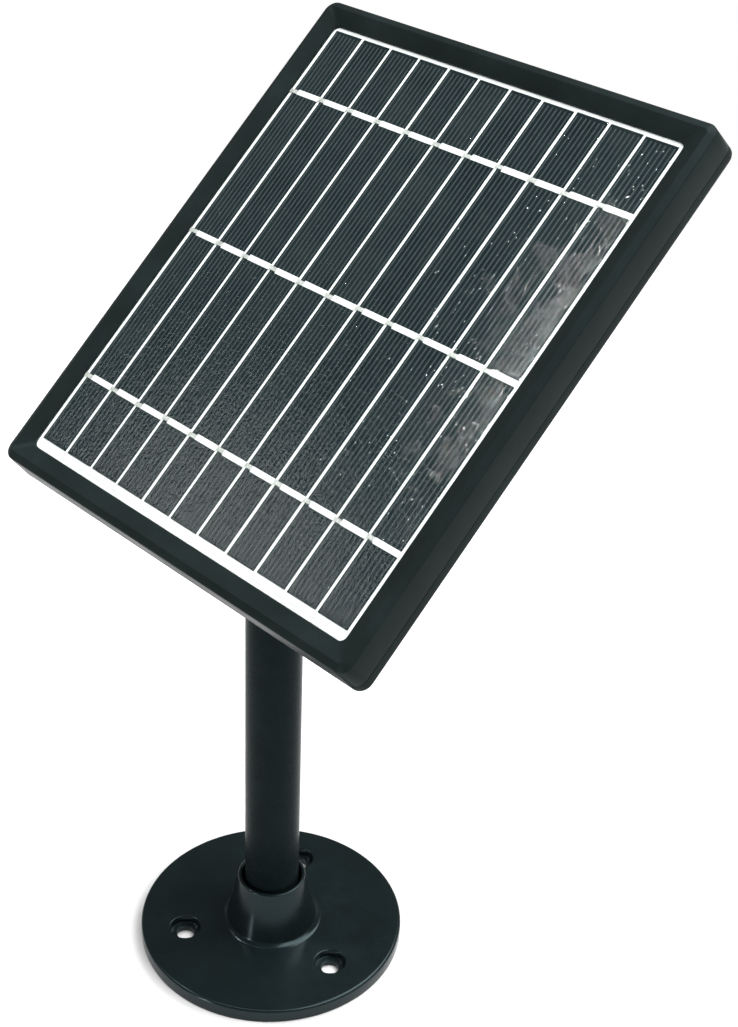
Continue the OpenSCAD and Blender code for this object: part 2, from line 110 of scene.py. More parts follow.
FLOOR_HALF, FLOOR_FADE_FROM, FLOOR_FADE_TO = 4.0, 0.3, 0.8
SKY_COLOUR, SKY_LOW, SKY_HIGH = (1, 1, 0.97, 1), 0.16, 3.0
SKY_GLOW_TOWARD, SKY_GLOW_DEG = (-0.645, -0.487, 0.589), 7.6
OVERHEAD_AT, OVERHEAD_SIZE, OVERHEAD_WATTS = (0.6, 0.75, 1.6), 2.2, 110
FRONT_AT, FRONT_TARGET, FRONT_SIZE, FRONT_WATTS = (-0.02, -0.75, 0.12), (0, 0, 0.02), (0.06, 0.2), 1.8
GLINT_AT, GLINT_SIZE, GLINT_WATTS, GLINT_TURN_DEG = (-0.865, -0.638, 1.6), (0.04, 0.42), 10, -26.6
CAMERA_AT_MM = (320.9, -284.1, 415.8)
CAMERA_HEADING_DEG, CAMERA_PITCH_DEG, CAMERA_ROLL_DEG = 44.984, 31.127, 2.391
LENS_MM, SENSOR_MM = 62.68, 36

# ---- materials -------------------------------------------------------------------------------

TEAL = (0.68, 0.94, 1.0, 1.0)
COAT_INK = (0.0058, 0.0098, 0.0106)
PLASTIC_INK = (0.0090, 0.0132, 0.0130)


class Shader:
    """One Principled material with a few pattern helpers."""

    def __init__(self, name, **values):
        self.material = bpy.data.materials.new(name)
        self.material.use_nodes = True
        self.tree = self.material.node_tree
        self.main = self.tree.nodes["Principled BSDF"]
        self.coords = self.node("ShaderNodeTexCoord").outputs["Object"]
        for key, value in values.items():
            self.main.inputs[key.replace("_", " ")].default_value = value

    def node(self, kind, **settings):
        made = self.tree.nodes.new(kind)
        for key, value in settings.items():
            setattr(made, key, value)
        return made

    def link(self, source, target):
        self.tree.links.new(source, target)

    def surface(self, shader):
        self.link(shader, self.tree.nodes["Material Output"].inputs["Surface"])

    def scaled(self, x, y, z):
        """The object's coordinates, stretched, so that a pattern can run along one way."""
        made = self.node("ShaderNodeMapping")
        made.inputs["Scale"].default_value = (x, y, z)
        self.link(self.coords, made.inputs["Vector"])
        return made.outputs["Vector"]

    def noise(self, size, detail=2.0, rough=0.5, coords=None, distortion=0.0):
        """Noise whose blobs are about size millimetres wide."""
        made = self.node("ShaderNodeTexNoise")
        made.inputs["Scale"].default_value = 1 / (size * MM)
        made.inputs["Detail"].default_value = detail
        made.inputs["Roughness"].default_value = rough
        made.inputs["Distortion"].default_value = distortion
        self.link(coords or self.coords, made.inputs["Vector"])
        return made.outputs["Fac"]

    def grains(self, size):
        """Cell pattern whose grains are about size millimetres wide."""
        made = self.node("ShaderNodeTexVoronoi")
        made.inputs["Scale"].default_value = 1 / (size * MM)
        self.link(self.coords, made.inputs["Vector"])
        return made.outputs["Distance"]

    def spread(self, value, low, high, from_low=0.3, from_high=0.7, kind="LINEAR"):
        """Stretches a pattern's values between from_low and from_high to the range low to high."""
        made = self.node("ShaderNodeMapRange", interpolation_type=kind)
        ends = {"From Min": from_low, "From Max": from_high, "To Min": low, "To Max": high}
        for key, number in ends.items():
            made.inputs[key].default_value = number
        self.link(value, made.inputs["Value"])
        return made.outputs["Result"]

    def maths(self, operation, first, second):
        """A Math node. Each operand is another node's output or a number."""
        made = self.node("ShaderNodeMath", operation=operation)
        for i, value in enumerate((first, second)):
            if isinstance(value, (int, float)):
                made.inputs[i].default_value = value
            else:
                self.link(value, made.inputs[i])
        return made.outputs[0]

    def colours(self, value, *stops):
        """Colour ramp from (place, colour) stops."""
        made = self.node("ShaderNodeValToRGB")
        ramp = made.color_ramp
        while len(ramp.elements) < len(stops):
            ramp.elements.new(0.5)
        for element, (place, colour) in zip(ramp.elements, stops):
            element.position = place
            element.color = (*colour, 1)
        self.link(value, made.inputs["Fac"])
        return made.outputs["Color"]

    def paint(self, colour):
        self.link(colour, self.main.inputs["Base Color"])

    def roughen(self, value):
        self.link(value, self.main.inputs["Roughness"])

    def relief(self, height, depth, strength=1.0):
        """The normal of a relief of up to depth millimetres."""
        made = self.node("ShaderNodeBump")
        made.inputs["Strength"].default_value = strength
        made.inputs["Distance"].default_value = depth * MM
        self.link(height, made.inputs["Height"])
        return made.outputs["Normal"]

    def bump(self, height, depth, strength):
        self.link(self.relief(height, depth, strength), self.main.inputs["Normal"])

    def mixed(self, share, first, second):
        """A mix of two shaders: share 0 is all first, 1 is all second."""
        made = self.node("ShaderNodeMixShader")
        for i, source in enumerate((share, first, second)):
            self.link(source, made.inputs[i])
        return made.outputs[0]


def tinted(colour, factor):
    return tuple(c * factor for c in colour)


def powder_coat(name, specular, rough):
    """Satin black powder coat: a soft orange peel and the odd cloud of fine dust."""
    s = Shader(name, Specular_IOR_Level=specular, Specular_Tint=TEAL)
    clouds = s.noise(18, 4, 0.6)
    specks = s.noise(0.35, 2, 0.6)
    dusty = s.maths("ADD", clouds, s.spread(specks, -0.08, 0.08))
    s.paint(s.colours(dusty, (0.3, tinted(COAT_INK, 0.82)), (0.55, COAT_INK), (0.8, tinted(COAT_INK, 1.3))))
    s.roughen(s.spread(s.maths("MULTIPLY", clouds, specks), rough - 0.04, rough + 0.06, 0.15, 0.4))
    s.bump(s.maths("ADD", s.noise(0.9, 2, 0.5), s.spread(specks, 0, 0.3)), 0.012, 0.8)
    return s.material


def moulded(name, grain, depth, rough, specular):
    """Black moulded plastic with a spark-eroded grain, cloudy sheen and fine dust in the grain."""
    s = Shader(name, Specular_IOR_Level=specular, Specular_Tint=TEAL)
    clouds = s.noise(22, 4, 0.6)
    pits = s.grains(grain)
    fine = s.noise(grain * 0.6, 3, 0.65)
    dusty = s.maths("ADD", clouds, s.spread(fine, -0.1, 0.1))
    s.paint(s.colours(dusty, (0.3, tinted(PLASTIC_INK, 0.8)), (0.55, PLASTIC_INK),
                      (0.8, tinted(PLASTIC_INK, 1.35))))
    s.roughen(s.spread(s.maths("MULTIPLY", clouds, fine), rough - 0.05, rough + 0.07, 0.15, 0.4))
    s.bump(s.maths("ADD", pits, fine), depth, 0.7)
    return s.material


def plated_steel():
    """Zinc plating: spangled, faintly brushed, a little yellow in random patches."""
    s = Shader("plated_steel", Metallic=1.0, Anisotropic=0.3)
    spangle = s.grains(0.9)
    brushed = s.noise(0.25, 3, 0.6, s.scaled(1, 9, 1))
    s.paint(s.colours(s.noise(2.5, 4, 0.6), (0.3, (0.50, 0.49, 0.45)), (0.6, (0.63, 0.63, 0.61)),
                      (0.8, (0.70, 0.71, 0.71))))
    s.roughen(s.spread(s.maths("ADD", spangle, brushed), 0.26, 0.46, 0.4, 1.2))
    s.bump(brushed, 0.006, 0.6)
    return s.material


def turned_brass():
    """Turned brass: fine rings and a darker tarnish."""
    s = Shader("turned_brass", Metallic=1.0)
    rings = s.noise(0.2, 2, 0.5, s.scaled(7, 1, 1))
    s.paint(s.colours(s.noise(2.0, 4, 0.6), (0.3, (0.46, 0.30, 0.10)), (0.65, (0.74, 0.54, 0.23))))
    s.roughen(s.spread(rings, 0.22, 0.4))
    s.bump(rings, 0.008, 0.6)
    return s.material


def plain(name, low, high, size, rough, grain, depth):
    """A plain moulded or pressed stuff: two near colours in clouds, over a fine grain."""
    s = Shader(name)
    clouds = s.noise(size, 5, 0.6)
    fine = s.noise(grain, 3, 0.6)
    s.paint(s.colours(s.maths("ADD", clouds, s.spread(fine, -0.12, 0.12)), (0.32, low), (0.68, high)))
    s.roughen(s.spread(fine, rough - 0.07, rough + 0.07))
    s.bump(fine, depth, 0.7)
    return s.material


def silicon():
    """Coated silicon: near-black blue-green that differs from strip to strip, with faint clouding."""
    s = Shader("silicon", Specular_IOR_Level=0.0)
    split = s.node("ShaderNodeSeparateXYZ")
    s.link(s.coords, split.inputs[0])
    across = s.maths("MULTIPLY", split.outputs["X"], 1 / (CELL_PITCH * MM))
    number = s.maths("FLOOR", s.maths("ADD", across, 50.5), 0)
    each = s.node("ShaderNodeTexWhiteNoise", noise_dimensions="1D")
    s.link(number, each.inputs["W"])
    clouds = s.noise(9, 4, 0.6)
    fine = s.noise(0.5, 2, 0.6)
    shade = s.maths("ADD", s.spread(each.outputs["Value"], -0.12, 0.12, 0, 1),
                    s.maths("ADD", clouds, s.spread(fine, -0.05, 0.05)))
    s.paint(s.colours(shade, (0.28, (0.0070, 0.0120, 0.0140)), (0.5, (0.0105, 0.0165, 0.0190)),
                      (0.72, (0.0150, 0.0215, 0.0225))))
    s.roughen(s.spread(fine, 0.3, 0.42))
    s.bump(fine, 0.004, 0.6)
    return s.material


def printed_silver():
    """Screen-printed silver fingers: matt, slightly uneven."""
    s = Shader("printed_silver", Specular_IOR_Level=0.0)
    s.paint(s.colours(s.noise(1.4, 4, 0.7), (0.3, (0.038, 0.048, 0.051)), (0.7, (0.060, 0.073, 0.076))))
    s.roughen(s.spread(s.noise(0.3), 0.45, 0.65))
    s.bump(s.noise(0.12, 2, 0.6), 0.01, 0.6)
    return s.material


def tinned():
    """Tinned ribbon: bright, faintly dragged along its length."""
    s = Shader("tinned", Metallic=0.25, Specular_IOR_Level=0.5)
    drag = s.noise(0.5, 3, 0.6, s.scaled(0.35, 1, 1))
    s.paint(s.colours(drag, (0.3, (0.66, 0.67, 0.65)), (0.55, (0.84, 0.85, 0.83)),
                      (0.75, (0.92, 0.93, 0.91))))
    s.roughen(s.spread(drag, 0.35, 0.55))
    s.bump(drag, 0.03, 0.7)
    return s.material


def solder():
    """Duller solder where one tab meets the next."""
    s = Shader("solder", Metallic=0.35)
    s.paint(s.colours(s.noise(0.7, 4, 0.7), (0.3, (0.28, 0.28, 0.26)), (0.6, (0.55, 0.55, 0.52)),
                      (0.8, (0.70, 0.70, 0.68))))
    s.roughen(s.spread(s.noise(0.4), 0.35, 0.6))
    s.bump(s.noise(0.5, 3, 0.6), 0.06, 0.8)
    return s.material


def pebbled_film():
    """Clear film with an embossed pebble: mostly see-through, with a broken gloss that grows at a slant."""
    s = Shader("pebbled_film")
    s.tree.nodes.remove(s.main)
    bends = s.noise(1.3, 1, 0.5, distortion=1.1)
    drift = s.noise(26, 2, 0.5)
    clear = s.node("ShaderNodeBsdfTransparent")
    clear.inputs["Color"].default_value = (0.985, 1, 1, 1)
    gloss = s.node("ShaderNodeBsdfGlossy", distribution="BECKMANN")
    s.link(s.spread(drift, 0.04, 0.07), gloss.inputs["Roughness"])
    s.link(s.relief(s.maths("ADD", bends, s.spread(drift, 0, 0.4)), 0.05), gloss.inputs["Normal"])
    slant = s.node("ShaderNodeLayerWeight")
    slant.inputs["Blend"].default_value = 0.5
    grazing = s.maths("MULTIPLY", s.maths("POWER", slant.outputs["Facing"], 4), 0.7)
    s.surface(s.mixed(s.maths("ADD", grazing, 0.014), clear.outputs[0], gloss.outputs[0]))
    return s.material


def circuit_green():
    """Green solder mask with lighter copper runs under it."""
    s = Shader("circuit_green", Coat_Weight=0.5, Coat_Roughness=0.15)
    runs = s.node("ShaderNodeTexBrick")
    runs.inputs["Scale"].default_value = 1 / (5 * MM)
    runs.inputs["Mortar Size"].default_value = 0.06
    runs.inputs["Color1"].default_value = (0.008, 0.075, 0.022, 1)
    runs.inputs["Color2"].default_value = (0.010, 0.085, 0.028, 1)
    runs.inputs["Mortar"].default_value = (0.03, 0.19, 0.06, 1)
    s.link(s.coords, runs.inputs["Vector"])
    s.paint(runs.outputs["Color"])
    s.roughen(s.spread(s.noise(3), 0.3, 0.45))
    s.bump(runs.outputs["Fac"], 0.03, 0.5)
    return s.material


def plain_stuff():
    """The plain materials, by slot: low colour, high colour, cloud size, roughness, grain, depth."""
    kinds = {
        "acetal": ((0.66, 0.64, 0.56), (0.78, 0.76, 0.69), 6, 0.38, 0.5, 0.01),
        "fibre": ((0.03, 0.026, 0.02), (0.07, 0.06, 0.05), 1.2, 0.8, 0.2, 0.05),
        "seal_rubber": ((0.035, 0.038, 0.04), (0.07, 0.075, 0.08), 5, 0.6, 0.25, 0.02),
        "encapsulant": ((0.77, 0.79, 0.77), (0.86, 0.87, 0.85), 7, 0.5, 0.4, 0.01),
        "white_board": ((0.78, 0.79, 0.77), (0.86, 0.87, 0.86), 9, 0.5, 0.5, 0.01),
        "foam_tape": ((0.02, 0.02, 0.02), (0.05, 0.05, 0.05), 2, 0.85, 0.3, 0.08),
        "chip_resin": ((0.010, 0.011, 0.012), (0.022, 0.023, 0.025), 1.5, 0.5, 0.15, 0.01),
        "ferrite": ((0.02, 0.018, 0.016), (0.05, 0.046, 0.042), 1.0, 0.7, 0.12, 0.02),
        "ceramic": ((0.34, 0.20, 0.09), (0.50, 0.31, 0.15), 1.0, 0.45, 0.15, 0.005),
        "lead_red": ((0.36, 0.012, 0.010), (0.50, 0.022, 0.016), 4, 0.4, 0.3, 0.01),
        "lead_black": ((0.012, 0.012, 0.013), (0.028, 0.028, 0.030), 4, 0.4, 0.3, 0.01),
    }
    return {name: plain(name, *values) for name, values in kinds.items()}


MATERIALS = {
    "black_metal": powder_coat("powder_coat", 0.04, 0.28),
    "black_plastic": moulded("grip_plastic", 0.45, 0.02, 0.46, 0.25),
    "frame_plastic": moulded("frame_plastic", 0.3, 0.009, 0.36, 0.045),
    "cover_plastic": moulded("cover_plastic", 0.45, 0.016, 0.4, 0.045),
    "zinc_steel": plated_steel(),
    "brass": turned_brass(),
    "clear_film": pebbled_film(),
    "silicon": silicon(),
    "tinned_copper": tinned(),
    "board_green": circuit_green(),
    **plain_stuff(),
}
SLOT_OF = {part["node"]: part["material_slot"] for part in frame["record"]["subparts"]}

# ---- mesh helpers ----------------------------------------------------------------------------


def rounded_path(points, closed=False, steps=5):
    """Outline from (x, z, radius) points, with each corner turned into an arc of its radius."""
    out, count = [], len(points)
    for i, (x, z, radius) in enumerate(points):
        corner = Vector((x, z))
        if radius == 0 or (not closed and i in (0, count - 1)):
            out.append(corner)
            continue
        back = (Vector(points[i - 1][:2]) - corner).normalized()
        ahead = (Vector(points[(i + 1) % count][:2]) - corner).normalized()
        half = back.angle(ahead) / 2
        centre = corner + (back + ahead).normalized() * radius / math.sin(half)
        cut = radius / math.tan(half)
        first, last = corner + back * cut - centre, corner + ahead * cut - centre
        for k in range(steps + 1):
            out.append(centre + first.lerp(last, k / steps).normalized() * radius)
    return out


def rounded_loop(width, height, radius, side_steps=10):
    """Points of a rectangle with round corners. The number of points is the same for every size."""
    corner_steps = 8
    arcs = []
    for sx, sy, start in ((1, 1, 0), (-1, 1, 90), (-1, -1, 180), (1, -1, 270)):
        cx, cy = sx * (width / 2 - radius), sy * (height / 2 - radius)
        angles = [math.radians(start + 90 * k / corner_steps) for k in range(corner_steps + 1)]
        arcs.append([Vector((cx + radius * math.cos(a), cy + radius * math.sin(a))) for a in angles])
    out = []
    for i, arc in enumerate(arcs):
        following = arcs[(i + 1) % 4][0]
        out += arc
        out += [arc[-1].lerp(following, k / side_steps) for k in range(1, side_steps)]
    return out


def layer(width, height, radius, z, y=0, side_steps=10):
    """A rounded loop laid at height z, its centre moved to y."""
    return [(p.x, p.y + y, z) for p in rounded_loop(width, height, radius, side_steps)]


def row_pairs(rows, closed):
    """Each row of points with the next, and the last with the first where the surface is closed."""
    return list(zip(rows, rows[1:])) + ([(rows[-1], rows[0])] if closed else [])


def loft(loops, closed=False, capped=False):
    """A bmesh whose faces join each loop of points to the next. Points are in millimetres."""
    bm = bmesh.new()
    rows = [[bm.verts.new(Vector(p) * MM) for p in loop] for loop in loops]
    for low, high in row_pairs(rows, closed):
        for i in range(len(low)):
            j = (i + 1) % len(low)
            bm.faces.new((low[i], low[j], high[j], high[i]))
    if capped:
        bm.faces.new(list(reversed(rows[0])))
        bm.faces.new(rows[-1])
    bmesh.ops.recalc_face_normals(bm, faces=bm.faces)
    return bm


def lathe(path, steps=160, closed=False):
    """A bmesh turned about z from (radius, height) points. A point at radius 0 closes the end."""
    bm = bmesh.new()
    rows = []
    for radius, height in path:
        if radius < 1e-6:
            rows.append([bm.verts.new(Vector((0, 0, height)) * MM)])
            continue
        rows.append([bm.verts.new(Vector((radius * math.cos(a), radius * math.sin(a), height)) * MM)
                     for a in (2 * math.pi * k / steps for k in range(steps))])
    for low, high in row_pairs(rows, closed):
        for i in range(steps):
            j = (i + 1) % steps
            ring = [low[i % len(low)], low[j % len(low)], high[j % len(high)], high[i % len(high)]]
            bm.faces.new(list(dict.fromkeys(ring)))
    bmesh.ops.recalc_face_normals(bm, faces=bm.faces)
    return bm


def add_box(bm, low, high, edge):
    """Adds a box to a bmesh, with its top edges cut back by edge. Corners are in millimetres."""
    (x0, y0, z0), (x1, y1, z1) = low, high
    rows = []
    for z, cut in ((z0, 0), (z1 - edge, 0), (z1, edge)):
        corners = [(x0 + cut, y0 + cut), (x1 - cut, y0 + cut), (x1 - cut, y1 - cut), (x0 + cut, y1 - cut)]
        rows.append([bm.verts.new(Vector((x, y, z)) * MM) for x, y in corners])
    for lower, upper in zip(rows, rows[1:]):
        for i in range(4):
            j = (i + 1) % 4
            bm.faces.new((lower[i], lower[j], upper[j], upper[i]))
    bm.faces.new(list(reversed(rows[0])))
    bm.faces.new(rows[-1])


def linked(name, data):
    """A new object in the scene."""
    made = bpy.data.objects.new(name, data)
    bpy.context.scene.collection.objects.link(made)
    return made


def mesh_from(bm, name):
    """The bmesh as a mesh. The bmesh is freed."""
    mesh = bpy.data.meshes.new(name)
    bm.to_mesh(mesh)
    bm.free()
    return mesh


def finish_mesh(mesh, limit):
    """Smooth shading, with edges sharper than limit degrees left crisp."""
    for polygon in mesh.polygons:
        polygon.use_smooth = True
    mesh.set_sharp_from_angle(angle=math.radians(limit))


def piece(name, bm, body, slot, place=WORLD, stands_for=(), material=None, limit=32):
    """Turns a bmesh into a named piece that rides on a body. Its place is in its mesh."""
    bm.transform(place)
    mesh = mesh_from(bm, name)
    made = linked(name, mesh)
    mesh.materials.append(material or MATERIALS[slot])
    finish_mesh(mesh, limit)
    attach(made, body)
    if stands_for:
        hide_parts(*stands_for)
    return made


def carve(target, cutters, limit, place=WORLD):
    """Cuts each bmesh in cutters out of a piece, exactly, and cleans up after itself."""
    for cutter in cutters:
        cutter.transform(place)
        tool = linked("cutter", mesh_from(cutter, "cutter"))
        tool.matrix_world = target.matrix_world
        change = target.modifiers.new("carve", "BOOLEAN")
        change.operation = "DIFFERENCE"
        change.solver = "EXACT"
        change.object = tool
        bpy.context.view_layer.update()
        seen = target.evaluated_get(bpy.context.evaluated_depsgraph_get())
        carved = bpy.data.meshes.new_from_object(seen)
        target.modifiers.clear()
        old = target.data
        target.data = carved
        bpy.data.meshes.remove(old)
        carved.name = target.name
        bpy.data.objects.remove(tool)
    finish_mesh(target.data, limit)


def moved(bm, x, y, z=0.0):
    bm.transform(Matrix.Translation(Vector((x, y, z)) * MM))
    return bm


# ---- stand's pieces --------------------------------------------------------------------------


def make_base_plate():
    """Round plate and hub, turned, with three sunk screw holes whose rims are softly rounded."""
    socket_r = POLE_R + SOCKET_GAP
    outline = rounded_path([
        (FOOT_BORE_R, 0, 0), (BASE_R, 0, 0.45), (BASE_R, BASE_T, 0.9), (HUB_ROOT_R, BASE_T, 1.9),
        (HUB_FLARE_R, HUB_FLARE_Z, 0.9), (HUB_LIP_R, HUB_TOP, 0.55), (MOUTH_R, HUB_TOP, 0.35),
        (MOUTH_R, HUB_TOP - MOUTH_DEPTH, 0.5), (socket_r, HUB_TOP - SOCKET_DEPTH, 0.3),
        (socket_r, POLE_LOW, 0), (FOOT_BORE_R, POLE_LOW, 0)], closed=True, steps=6)
    base = piece("base_plate_skin", lathe(outline, 240, closed=True), "stand", "black_metal",
                 stands_for=["base_plate"], material=powder_coat("glossier_coat", 0.24, 0.18))
    seat_z = BASE_T - SEAT_T
    hole = rounded_path([
        (0, -1, 0), (HOLE_R + 0.4, -1, 0), (HOLE_R + 0.4, 0.15, 0), (HOLE_R, 0.5, 0), (HOLE_R, seat_z, 0.25),
        (SEAT_R, seat_z, 0.2), (SEAT_R, BASE_T, SEAT_RIM), (SEAT_R + 3, BASE_T, 0),
        (SEAT_R + 3, BASE_T + 3, 0), (0, BASE_T + 3, 0)])
    clear = Vector((0, 0.004))      # keeps the cutter's flat just off the plate's face
    hole = [p + clear if p.y >= BASE_T - 1e-6 else p for p in hole]
    cutters = []
    for k in range(SCREW_COUNT):
        a = math.radians(360 * k / SCREW_COUNT)
        cutters.append(moved(lathe(hole, 64), SCREW_CIRCLE_R * math.cos(a), SCREW_CIRCLE_R * math.sin(a)))
    foot = rounded_path([(0, -1, 0), (FOOT_SEAT_R + 0.4, -1, 0), (FOOT_SEAT_R, 0.3, 0),
                         (FOOT_SEAT_R, FOOT_SEAT_T, 0.2), (0, FOOT_SEAT_T, 0)])
    carve(base, cutters + [lathe(foot, 64)], limit=25)


def make_pole():
    outline = rounded_path([
        (POLE_BORE_R, POLE_LOW, 0), (POLE_R, POLE_LOW, 0.3), (POLE_R, POLE_TOP, 0.3),
        (POLE_BORE_R, POLE_TOP, 0)], closed=True)
    piece("pole_tube", lathe(outline, closed=True), "stand", "black_metal", stands_for=["pole"])


# ---- housing's pieces ------------------------------------------------------------------------


def corner_radius(out):
    """Corner radius of the housing's outline, out millimetres outside the window's edge."""
    if out <= 0:
        return max(WINDOW_CORNER_R + out * 0.2, 0.6)
    if out <= BEZEL:
        return WINDOW_CORNER_R + (RIDGE_CORNER_R - WINDOW_CORNER_R) * out / BEZEL
    return RIDGE_CORNER_R + (OUTER_CORNER_R - RIDGE_CORNER_R) * min((out - BEZEL) / BEVEL, 1)


def housing_loft(outline, **options):
    """Lofts an outline of (out, z) points round the window."""
    return loft([layer(WINDOW_W + 2 * p.x, WINDOW_H + 2 * p.x, corner_radius(p.x), p.y) for p in outline],
                **options)


def wall_out(z):
    """How far the drafted outer wall stands outside the window's edge at height z."""
    return BEZEL + BEVEL + DRAFT * (BEVEL_H - z) / (REAR_N + BEVEL_H)


def make_front_frame():
    """Rim that slopes up to a ridge, an outer bevel, drafted walls and the laminate's ledge."""
    inner = BEZEL + BEVEL - WALL_T
    ledge_low = -LEDGE_N - LEDGE_T
    outline = rounded_path([
        (-LEDGE_W, -LEDGE_N, 0.2), (0, -LEDGE_N, 0), (0, LIP_H, 0.16), (BEZEL, RIDGE_H, 0.42),
        (wall_out(BEVEL_H), BEVEL_H, 0.6), (wall_out(-SPLIT_N), -SPLIT_N, JOINT_EDGE_R),
        (inner, -SPLIT_N, 0), (inner, ledge_low, 0), (-LEDGE_W, ledge_low, 0.2)], closed=True, steps=4)
    piece("front_frame_skin", housing_loft(outline, closed=True), "panel", "frame_plastic", PANEL,
          ["front_frame"], limit=24)


def make_rear_cover():
    """Drafted tray with a softly rounded rear edge, sunk screw seats and a shallow blank panel."""
    top, inner = -SPLIT_N - JOINT_GAP, BEZEL + BEVEL - WALL_T
    floor, rear = -REAR_N + FLOOR_T, -REAR_N
    outline = rounded_path([
        (-30, floor, 0), (inner, floor, 0.8), (inner, top, 0.1), (wall_out(top), top, JOINT_EDGE_R),
        (wall_out(rear), rear, REAR_EDGE_R), (-4, rear, 0), (-30, rear, 0)], steps=6)
    cover = piece("rear_cover_skin", housing_loft(outline, capped=True), "panel", "cover_plastic", PANEL,
                  ["rear_cover"])
    seat = rounded_path([
        (0, -CUT, 0), (4.4, -CUT, 0), (COVER_SEAT_R, -0.25, 0.5), (COVER_SEAT_R, COVER_SEAT_T, 0.2),
        (COVER_HOLE_R, COVER_SEAT_T, 0), (COVER_HOLE_R, CUT, 0), (0, CUT, 0)])
    screw_x, screw_y = WINDOW_W / 2 - COVER_SCREW_INSET, WINDOW_H / 2 - COVER_SCREW_INSET
    places = [(sx * screw_x, y) for sx in (-1, 1)
              for y in (-screw_y, -COVER_SCREW_Y, COVER_SCREW_Y, screw_y)]
    places += [(0, -screw_y), (0, screw_y)]
    cutters = [moved(lathe(seat, 40), x, y, rear) for x, y in places]
    gland = rounded_path([(0, -CUT, 0), (GLAND_R, -CUT, 0), (GLAND_R, CUT, 0), (0, CUT, 0)])
    cutters.append(moved(lathe(gland, 40), GLAND_X, GLAND_Y, rear))
    levels = ((0.4, rear - 1), (0, rear - 0.02), (-0.8, rear + BLANK_DEPTH))
    cutters.append(loft([layer(BLANK_W + grow, BLANK_H + grow, BLANK_CORNER_R, z, BLANK_Y, 2)
                         for grow, z in levels], capped=True))
    carve(cover, cutters, 28, PANEL)


# ---- laminate's pieces -----------------------------------------------------------------------


def cell_x(i):
    return (i - (CELL_COUNT - 1) / 2) * CELL_PITCH


def make_cells():
    """Eleven strips, each a hair out of true."""
    chance = random.Random(SEED)
    bm = bmesh.new()
    w, h = CELL_W / 2, CELL_H / 2
    for i in range(CELL_COUNT):
        x, y = cell_x(i) + chance.uniform(-0.06, 0.06), CELL_SHIFT + chance.uniform(-0.12, 0.12)
        add_box(bm, (x - w, y - h, -CELL_T), (x + w, y + h, 0), 0.04)
    piece("cell_strips", bm, "panel", "silicon", PANEL, ["solar_cells"])


def make_fingers():
    """Printed fingers, seven on each strip, in the strips' own direction."""
    chance = random.Random(SEED + 1)
    bm = bmesh.new()
    low, high = CELL_SHIFT - (CELL_H / 2 - FINGER_INSET), CELL_SHIFT + (CELL_H / 2 - FINGER_INSET)
    for i in range(CELL_COUNT):
        for k in range(-FINGERS_A_SIDE, FINGERS_A_SIDE + 1):
            x = cell_x(i) + k * FINGER_PITCH + chance.uniform(-0.02, 0.02)
            add_box(bm, (x - FINGER_HALF, low, 0), (x + FINGER_HALF, high, FINGER_T), 0.01)
    piece("cell_fingers", bm, "panel", "tinned_copper", PANEL, material=printed_silver())


def make_ribbons():
    """Three rows of tabs: a wide pad on each strip, and a narrower link that crosses to the next."""
    chance = random.Random(SEED + 2)
    pads, links = bmesh.new(), bmesh.new()
    for k in (-1, 0, 1):
        row = CELL_SHIFT + k * RIBBON_PITCH
        for i in range(CELL_COUNT):
            left, right = cell_x(i) - CELL_W / 2, cell_x(i) + CELL_W / 2
            y = row + chance.uniform(-0.14, 0.14)
            start = left + chance.uniform(1.7, 2.3)
            wide, thin = chance.uniform(0.84, 0.92), chance.uniform(0.58, 0.68)
            slip = chance.choice((-1, 1)) * chance.uniform(0.1, 0.24)
            add_box(pads, (start, y - wide, 0.0), (right + 0.2, y + wide, PAD_T), 0.06)
            add_box(links, (left - 1.2, y + slip - thin, LINK_LOW), (start + 0.4, y + slip + thin, LINK_HIGH),
                    0.05)
    piece("ribbon_pads", pads, "panel", "tinned_copper", PANEL, ["cell_ribbons"])
    piece("ribbon_links", links, "panel", "tinned_copper", PANEL, material=solder())


def make_film():
    """Clear film over the whole laminate, its border turned down at the edge."""
    levels = ((0, FILM_LOW), (0, FILM_HIGH - FILM_EDGE), (FILM_EDGE, FILM_HIGH))
    rows = [layer(WINDOW_W - 2 * (FILM_INSET + cut), WINDOW_H - 2 * (FILM_INSET + cut), WINDOW_CORNER_R, z)
            for cut, z in levels]
    piece("film_sheet", loft(rows, capped=True), "panel", "clear_film", PANEL, ["clear_film"])


# ---- carried-over CAD nodes ------------------------------------------------------------------

EDGE_ROUNDING = {
    "swivel_head": 0.5, "hinge_bracket": 0.5, "tilt_knob": 0.6, "knob_washer": 0.12, "hinge_bolt": 0.3,
    "bracket_screws": 0.25, "cover_screws": 0.2, "cable_gland": 0.3, "gland_nut": 0.4,
    "gland_locknut": 0.3, "foot_screw": 0.25, "foot_washer": 0.1, "top_bush": 0.25,
    "friction_washers": 0.12, "inductor": 0.3, "regulator_chip": 0.06, "blocking_diode": 0.15,
    "capacitors": 0.15, "knob_insert": 0.15, "pole_foot_plug": 0.2, "spigot_washer": 0.1,
    "spigot_screw": 0.2, "circuit_board": 0.08, "gland_seal": 0.2, "frame_seal": 0.15}


def dress_node(name):
    """Gives a CAD node its material, smooth shading and softly rounded edges."""
    node = nodes[name]
    node.data.materials.clear()
    node.data.materials.append(MATERIALS[SLOT_OF[name]])
    for polygon in node.data.polygons:
        polygon.use_smooth = True
    if name in EDGE_ROUNDING:
        weld = node.modifiers.new("weld", "WELD")
        weld.merge_threshold = 1e-6
        soft = node.modifiers.new("soft_edges", "BEVEL")
        soft.width = EDGE_ROUNDING[name] * MM
        soft.segments = 3
        soft.limit_method = "ANGLE"
        soft.angle_limit = math.radians(35)
        soft.harden_normals = True


# ---- stage, light and camera -----------------------------------------------------------------


